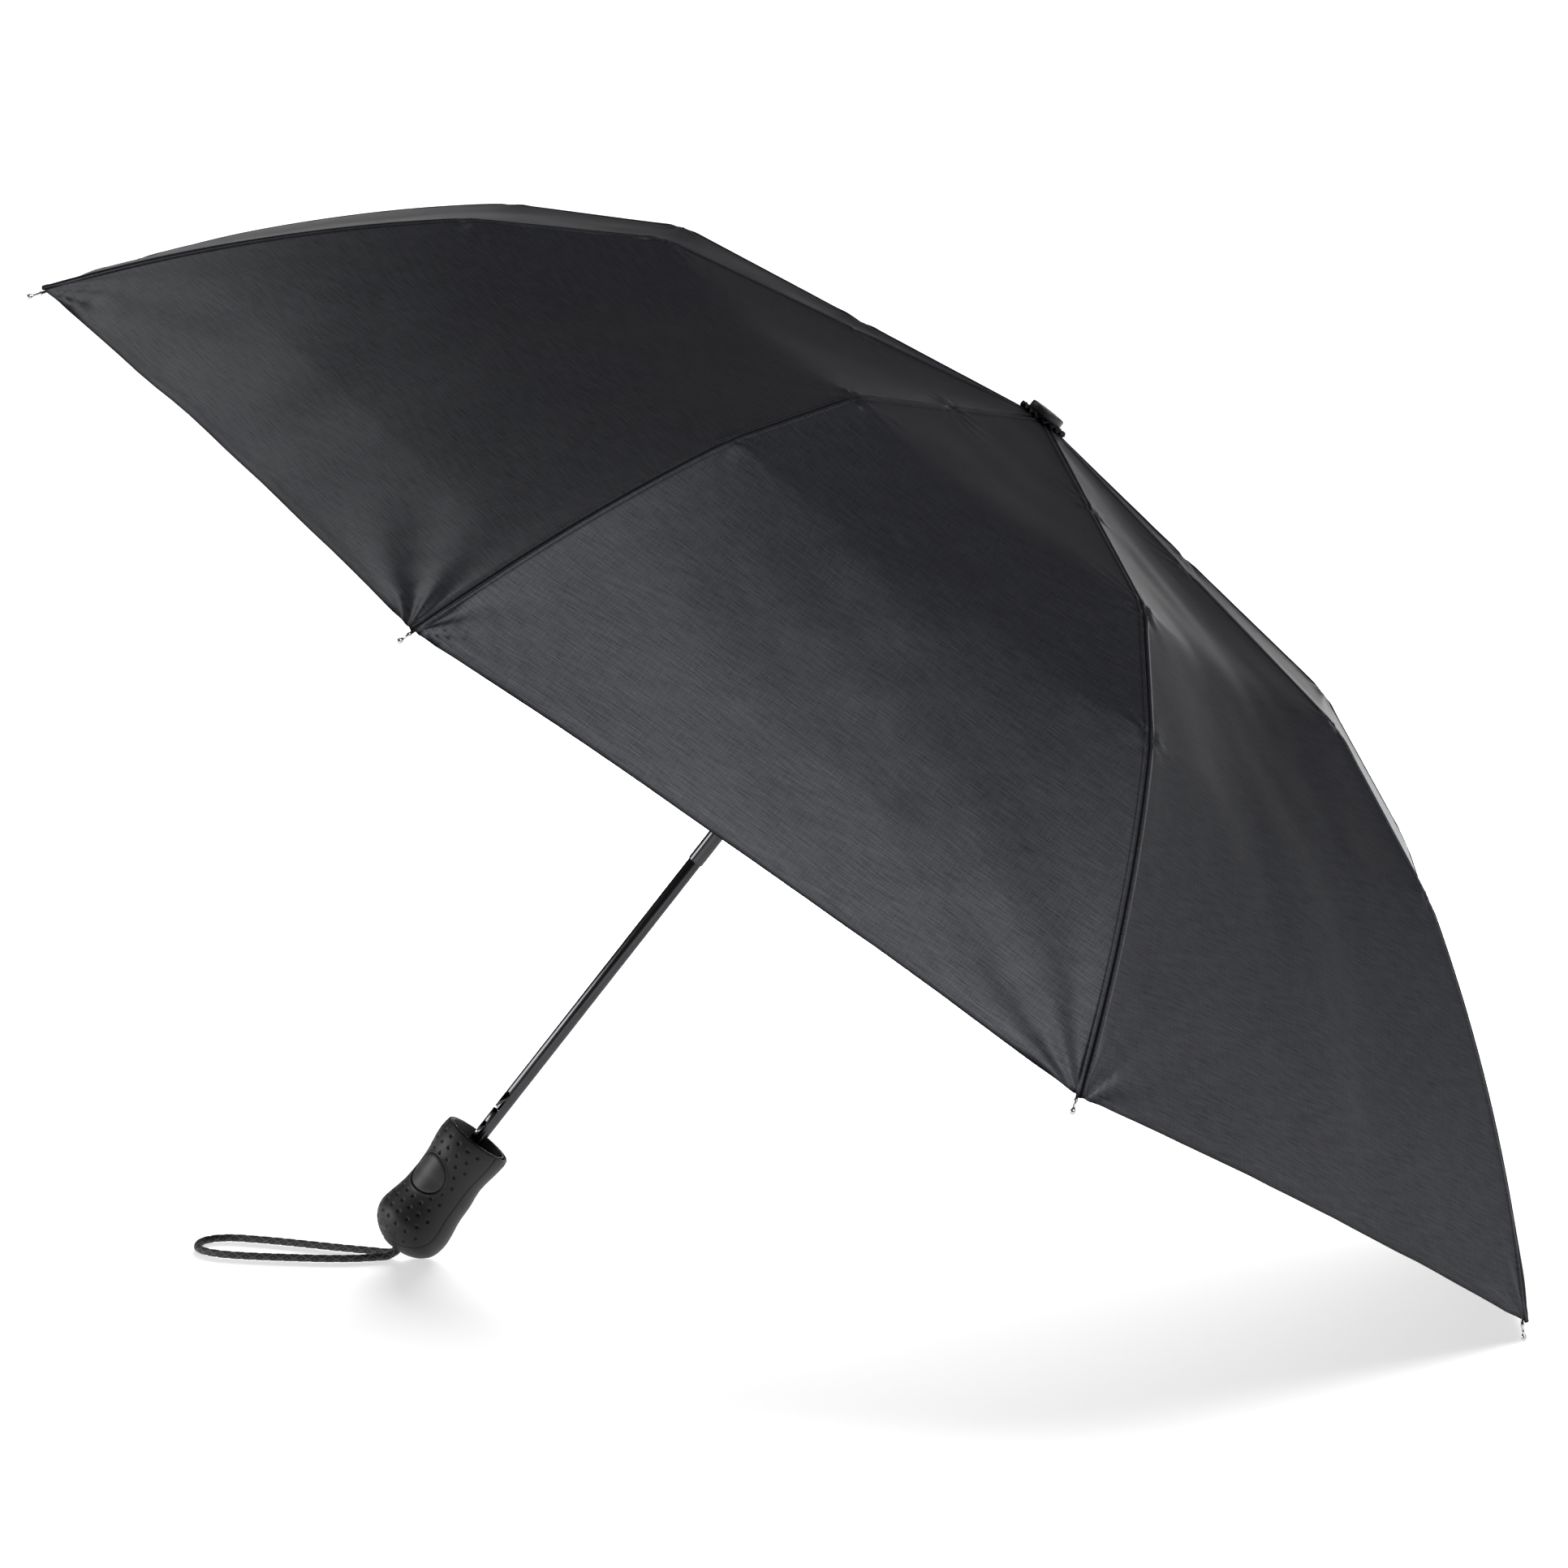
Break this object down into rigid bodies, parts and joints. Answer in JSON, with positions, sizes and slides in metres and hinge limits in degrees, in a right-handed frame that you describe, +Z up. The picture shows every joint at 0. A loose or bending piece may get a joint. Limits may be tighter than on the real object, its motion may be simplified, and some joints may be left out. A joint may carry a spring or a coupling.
{
  "type": "folding umbrella",
  "caption": "Compact folding umbrella, open: dome canopy on jointed folding ribs, two-section telescoping shaft, cupped grip with release button, and a wrist cord.",
  "frame": {"origin": "On the floor under the middle of the open umbrella, as it rests on two rib tips and the heel of its handle", "axes": "+Z up; +X the level direction that the shaft leans in, from the handle towards the canopy; +Y to the left when looking along +X, across the canopy"},
  "size_m": [0.7168, 0.881, 0.5322],
  "materials": {
    "canopy_fabric": "black polyester plain weave with a soft satin sheen",
    "soft_grip": "matt soft-touch black",
    "black_plastic": "satin black moulded plastic",
    "button_plastic": "matt dark grey moulded plastic",
    "black_steel": "gloss black lacquered steel",
    "bright_steel": "bright plated steel",
    "cord_braid": "black round braid"
  },
  "bodies": {
    "handle": {"grip_front": "soft_grip", "grip_back": "soft_grip", "handle_core": "black_plastic", "end_cap": "black_plastic", "lower_tube": "black_steel", "tube_pin": "bright_steel", "button_spring": "bright_steel", "opening_spring": "bright_steel", "cord_knot": "cord_braid", "wrist_cord": "cord_braid"},
    "button": {"button": "button_plastic"},
    "catch": {"catch_leaf": "bright_steel"},
    "upper_shaft": {"upper_tube": "black_steel", "crown": "black_plastic", "crown_wire": "bright_steel", "cap": "black_plastic", "canopy": "canopy_fabric"},
    "runner": {"runner": "black_plastic", "runner_wire": "bright_steel"},
    "top_rib_1": {"top_rib_1": "black_steel"},
    "middle_rib_1": {"middle_rib_1": "black_steel"},
    "outer_rib_1": {"outer_rib_1": "black_steel", "rib_tip_1": "bright_steel"},
    "stretcher_1": {"stretcher_1": "black_steel"},
    "top_rib_2": {"top_rib_2": "black_steel"},
    "middle_rib_2": {"middle_rib_2": "black_steel"},
    "outer_rib_2": {"outer_rib_2": "black_steel", "rib_tip_2": "bright_steel"},
    "stretcher_2": {"stretcher_2": "black_steel"},
    "top_rib_3": {"top_rib_3": "black_steel"},
    "middle_rib_3": {"middle_rib_3": "black_steel"},
    "outer_rib_3": {"outer_rib_3": "black_steel", "rib_tip_3": "bright_steel"},
    "stretcher_3": {"stretcher_3": "black_steel"},
    "top_rib_4": {"top_rib_4": "black_steel"},
    "middle_rib_4": {"middle_rib_4": "black_steel"},
    "outer_rib_4": {"outer_rib_4": "black_steel", "rib_tip_4": "bright_steel"},
    "stretcher_4": {"stretcher_4": "black_steel"},
    "top_rib_5": {"top_rib_5": "black_steel"},
    "middle_rib_5": {"middle_rib_5": "black_steel"},
    "outer_rib_5": {"outer_rib_5": "black_steel", "rib_tip_5": "bright_steel"},
    "stretcher_5": {"stretcher_5": "black_steel"},
    "top_rib_6": {"top_rib_6": "black_steel"},
    "middle_rib_6": {"middle_rib_6": "black_steel"},
    "outer_rib_6": {"outer_rib_6": "black_steel", "rib_tip_6": "bright_steel"},
    "stretcher_6": {"stretcher_6": "black_steel"},
    "top_rib_7": {"top_rib_7": "black_steel"},
    "middle_rib_7": {"middle_rib_7": "black_steel"},
    "outer_rib_7": {"outer_rib_7": "black_steel", "rib_tip_7": "bright_steel"},
    "stretcher_7": {"stretcher_7": "black_steel"},
    "top_rib_8": {"top_rib_8": "black_steel"},
    "middle_rib_8": {"middle_rib_8": "black_steel"},
    "outer_rib_8": {"outer_rib_8": "black_steel", "rib_tip_8": "bright_steel"},
    "stretcher_8": {"stretcher_8": "black_steel"}
  },
  "joints": [
    {"name": "button_press", "type": "slide", "parent": "handle", "child": "button", "axis": [0.5074, 0.766, -0.3946], "range_m": [0, 0.0015], "stiffness_N_per_m": 1500, "springref_m": -0.0006, "deforming": ["button_spring"]},
    {"name": "catch_swing", "type": "hinge", "parent": "handle", "child": "catch", "pos_m": [-0.17167, -0.00061, 0.04901], "axis": [-0.6047, 0.6428, 0.4703], "range_deg": [0, 2]},
    {"name": "shaft_telescope", "type": "slide", "parent": "handle", "child": "upper_shaft", "axis": [-0.614, 0, -0.7893], "range_m": [0, 0.1383], "deforming": ["opening_spring"]},
    {"name": "canopy_fold", "type": "slide", "parent": "upper_shaft", "child": "runner", "axis": [-0.614, 0, -0.7893], "range_m": [0, 0.14045], "deforming": ["canopy"]},
    {"name": "top_rib_1_hinge", "type": "hinge", "parent": "upper_shaft", "child": "top_rib_1", "pos_m": [0.12515, 0.00325, 0.41699], "axis": [-0.3021, 0.9239, 0.235], "range_deg": [0, 82.91]},
    {"name": "middle_rib_1_hinge", "type": "hinge", "parent": "top_rib_1", "child": "middle_rib_1", "pos_m": [0.26628, 0.08396, 0.28108], "axis": [-0.3021, 0.9239, 0.235], "range_deg": [-193.74, 0]},
    {"name": "outer_rib_1_hinge", "type": "hinge", "parent": "middle_rib_1", "child": "outer_rib_1", "pos_m": [0.30987, 0.11847, 0.20141], "axis": [-0.3021, 0.9239, 0.235], "range_deg": [0, 165.95]},
    {"name": "stretcher_1_hinge", "type": "hinge", "parent": "runner", "child": "stretcher_1", "pos_m": [0.07358, 0.00325, 0.35069], "axis": [-0.3021, 0.9239, 0.235], "range_deg": [-52.53, 0]},
    {"name": "top_rib_2_hinge", "type": "hinge", "parent": "upper_shaft", "child": "top_rib_2", "pos_m": [0.12152, 0.00785, 0.41982], "axis": [-0.7293, 0.3827, 0.5672], "range_deg": [0, 81.8]},
    {"name": "middle_rib_2_hinge", "type": "hinge", "parent": "top_rib_2", "child": "middle_rib_2", "pos_m": [0.16992, 0.20229, 0.35086], "axis": [-0.7293, 0.3827, 0.5672], "range_deg": [-194.85, 0]},
    {"name": "outer_rib_2_hinge", "type": "hinge", "parent": "middle_rib_2", "child": "outer_rib_2", "pos_m": [0.17241, 0.28425, 0.29877], "axis": [-0.7293, 0.3827, 0.5672], "range_deg": [0, 165.95]},
    {"name": "stretcher_2_hinge", "type": "hinge", "parent": "runner", "child": "stretcher_2", "pos_m": [0.06995, 0.00785, 0.35351], "axis": [-0.7293, 0.3827, 0.5672], "range_deg": [-53.2, 0]},
    {"name": "top_rib_3_hinge", "type": "hinge", "parent": "upper_shaft", "child": "top_rib_3", "pos_m": [0.11639, 0.00785, 0.42381], "axis": [-0.7293, -0.3827, 0.5672], "range_deg": [0, 80.23]},
    {"name": "middle_rib_3_hinge", "type": "hinge", "parent": "top_rib_3", "child": "middle_rib_3", "pos_m": [0.03433, 0.20159, 0.44903], "axis": [-0.7293, -0.3827, 0.5672], "range_deg": [-196.42, 0]},
    {"name": "outer_rib_3_hinge", "type": "hinge", "parent": "middle_rib_3", "child": "outer_rib_3", "pos_m": [-0.01902, 0.28143, 0.4343], "axis": [-0.7293, -0.3827, 0.5672], "range_deg": [0, 165.95]},
    {"name": "stretcher_3_hinge", "type": "hinge", "parent": "runner", "child": "stretcher_3", "pos_m": [0.06481, 0.00785, 0.35751], "axis": [-0.7293, -0.3827, 0.5672], "range_deg": [-54.16, 0]},
    {"name": "top_rib_4_hinge", "type": "hinge", "parent": "upper_shaft", "child": "top_rib_4", "pos_m": [0.11275, 0.00325, 0.42664], "axis": [-0.3021, -0.9239, 0.235], "range_deg": [0, 79.12]},
    {"name": "middle_rib_4_hinge", "type": "hinge", "parent": "top_rib_4", "child": "middle_rib_4", "pos_m": [-0.06091, 0.08326, 0.51797], "axis": [-0.3021, -0.9239, 0.235], "range_deg": [-197.53, 0]},
    {"name": "outer_rib_4_hinge", "type": "hinge", "parent": "middle_rib_4", "child": "outer_rib_4", "pos_m": [-0.15191, 0.11565, 0.52833], "axis": [-0.3021, -0.9239, 0.235], "range_deg": [0, 165.95]},
    {"name": "stretcher_4_hinge", "type": "hinge", "parent": "runner", "child": "stretcher_4", "pos_m": [0.06118, 0.00325, 0.36033], "axis": [-0.3021, -0.9239, 0.235], "range_deg": [-54.83, 0]},
    {"name": "top_rib_5_hinge", "type": "hinge", "parent": "upper_shaft", "child": "top_rib_5", "pos_m": [0.11275, -0.00325, 0.42664], "axis": [0.3021, -0.9239, -0.235], "range_deg": [0, 79.12]},
    {"name": "middle_rib_5_hinge", "type": "hinge", "parent": "top_rib_5", "child": "middle_rib_5", "pos_m": [-0.06091, -0.08326, 0.51797], "axis": [0.3021, -0.9239, -0.235], "range_deg": [-197.53, 0]},
    {"name": "outer_rib_5_hinge", "type": "hinge", "parent": "middle_rib_5", "child": "outer_rib_5", "pos_m": [-0.15191, -0.11565, 0.52833], "axis": [0.3021, -0.9239, -0.235], "range_deg": [0, 165.95]},
    {"name": "stretcher_5_hinge", "type": "hinge", "parent": "runner", "child": "stretcher_5", "pos_m": [0.06118, -0.00325, 0.36033], "axis": [0.3021, -0.9239, -0.235], "range_deg": [-54.83, 0]},
    {"name": "top_rib_6_hinge", "type": "hinge", "parent": "upper_shaft", "child": "top_rib_6", "pos_m": [0.11639, -0.00785, 0.42381], "axis": [0.7293, -0.3827, -0.5672], "range_deg": [0, 80.23]},
    {"name": "middle_rib_6_hinge", "type": "hinge", "parent": "top_rib_6", "child": "middle_rib_6", "pos_m": [0.03433, -0.20159, 0.44903], "axis": [0.7293, -0.3827, -0.5672], "range_deg": [-196.42, 0]},
    {"name": "outer_rib_6_hinge", "type": "hinge", "parent": "middle_rib_6", "child": "outer_rib_6", "pos_m": [-0.01902, -0.28143, 0.4343], "axis": [0.7293, -0.3827, -0.5672], "range_deg": [0, 165.95]},
    {"name": "stretcher_6_hinge", "type": "hinge", "parent": "runner", "child": "stretcher_6", "pos_m": [0.06481, -0.00785, 0.35751], "axis": [0.7293, -0.3827, -0.5672], "range_deg": [-54.16, 0]},
    {"name": "top_rib_7_hinge", "type": "hinge", "parent": "upper_shaft", "child": "top_rib_7", "pos_m": [0.12152, -0.00785, 0.41982], "axis": [0.7293, 0.3827, -0.5672], "range_deg": [0, 81.8]},
    {"name": "middle_rib_7_hinge", "type": "hinge", "parent": "top_rib_7", "child": "middle_rib_7", "pos_m": [0.16992, -0.20229, 0.35086], "axis": [0.7293, 0.3827, -0.5672], "range_deg": [-194.85, 0]},
    {"name": "outer_rib_7_hinge", "type": "hinge", "parent": "middle_rib_7", "child": "outer_rib_7", "pos_m": [0.17241, -0.28425, 0.29877], "axis": [0.7293, 0.3827, -0.5672], "range_deg": [0, 165.95]},
    {"name": "stretcher_7_hinge", "type": "hinge", "parent": "runner", "child": "stretcher_7", "pos_m": [0.06995, -0.00785, 0.35351], "axis": [0.7293, 0.3827, -0.5672], "range_deg": [-53.2, 0]},
    {"name": "top_rib_8_hinge", "type": "hinge", "parent": "upper_shaft", "child": "top_rib_8", "pos_m": [0.12515, -0.00325, 0.41699], "axis": [0.3021, 0.9239, -0.235], "range_deg": [0, 82.91]},
    {"name": "middle_rib_8_hinge", "type": "hinge", "parent": "top_rib_8", "child": "middle_rib_8", "pos_m": [0.26628, -0.08396, 0.28108], "axis": [0.3021, 0.9239, -0.235], "range_deg": [-193.74, 0]},
    {"name": "outer_rib_8_hinge", "type": "hinge", "parent": "middle_rib_8", "child": "outer_rib_8", "pos_m": [0.30987, -0.11847, 0.20141], "axis": [0.3021, 0.9239, -0.235], "range_deg": [0, 165.95]},
    {"name": "stretcher_8_hinge", "type": "hinge", "parent": "runner", "child": "stretcher_8", "pos_m": [0.07358, -0.00325, 0.35069], "axis": [0.3021, 0.9239, -0.235], "range_deg": [-52.53, 0]}
  ],
  "couplings": [
    {"joint": "catch_swing", "follows": "button_press", "rad_per_m": 22.108},
    {"joint": "top_rib_1_hinge", "follows": "canopy_fold", "rad_per_m": 10.278},
    {"joint": "middle_rib_1_hinge", "follows": "canopy_fold", "rad_per_m": -24.05},
    {"joint": "outer_rib_1_hinge", "follows": "canopy_fold", "rad_per_m": 20.597},
    {"joint": "stretcher_1_hinge", "follows": "canopy_fold", "rad_per_m": -6.503},
    {"joint": "top_rib_2_hinge", "follows": "canopy_fold", "rad_per_m": 10.14},
    {"joint": "middle_rib_2_hinge", "follows": "canopy_fold", "rad_per_m": -24.188},
    {"joint": "outer_rib_2_hinge", "follows": "canopy_fold", "rad_per_m": 20.597},
    {"joint": "stretcher_2_hinge", "follows": "canopy_fold", "rad_per_m": -6.5863},
    {"joint": "top_rib_3_hinge", "follows": "canopy_fold", "rad_per_m": 9.9451},
    {"joint": "middle_rib_3_hinge", "follows": "canopy_fold", "rad_per_m": -24.383},
    {"joint": "outer_rib_3_hinge", "follows": "canopy_fold", "rad_per_m": 20.597},
    {"joint": "stretcher_3_hinge", "follows": "canopy_fold", "rad_per_m": -6.7047},
    {"joint": "top_rib_4_hinge", "follows": "canopy_fold", "rad_per_m": 9.8073},
    {"joint": "middle_rib_4_hinge", "follows": "canopy_fold", "rad_per_m": -24.521},
    {"joint": "outer_rib_4_hinge", "follows": "canopy_fold", "rad_per_m": 20.597},
    {"joint": "stretcher_4_hinge", "follows": "canopy_fold", "rad_per_m": -6.7888},
    {"joint": "top_rib_5_hinge", "follows": "canopy_fold", "rad_per_m": 9.8073},
    {"joint": "middle_rib_5_hinge", "follows": "canopy_fold", "rad_per_m": -24.521},
    {"joint": "outer_rib_5_hinge", "follows": "canopy_fold", "rad_per_m": 20.597},
    {"joint": "stretcher_5_hinge", "follows": "canopy_fold", "rad_per_m": -6.7888},
    {"joint": "top_rib_6_hinge", "follows": "canopy_fold", "rad_per_m": 9.9451},
    {"joint": "middle_rib_6_hinge", "follows": "canopy_fold", "rad_per_m": -24.383},
    {"joint": "outer_rib_6_hinge", "follows": "canopy_fold", "rad_per_m": 20.597},
    {"joint": "stretcher_6_hinge", "follows": "canopy_fold", "rad_per_m": -6.7047},
    {"joint": "top_rib_7_hinge", "follows": "canopy_fold", "rad_per_m": 10.14},
    {"joint": "middle_rib_7_hinge", "follows": "canopy_fold", "rad_per_m": -24.188},
    {"joint": "outer_rib_7_hinge", "follows": "canopy_fold", "rad_per_m": 20.597},
    {"joint": "stretcher_7_hinge", "follows": "canopy_fold", "rad_per_m": -6.5863},
    {"joint": "top_rib_8_hinge", "follows": "canopy_fold", "rad_per_m": 10.278},
    {"joint": "middle_rib_8_hinge", "follows": "canopy_fold", "rad_per_m": -24.05},
    {"joint": "outer_rib_8_hinge", "follows": "canopy_fold", "rad_per_m": 20.597},
    {"joint": "stretcher_8_hinge", "follows": "canopy_fold", "rad_per_m": -6.503}
  ]
}
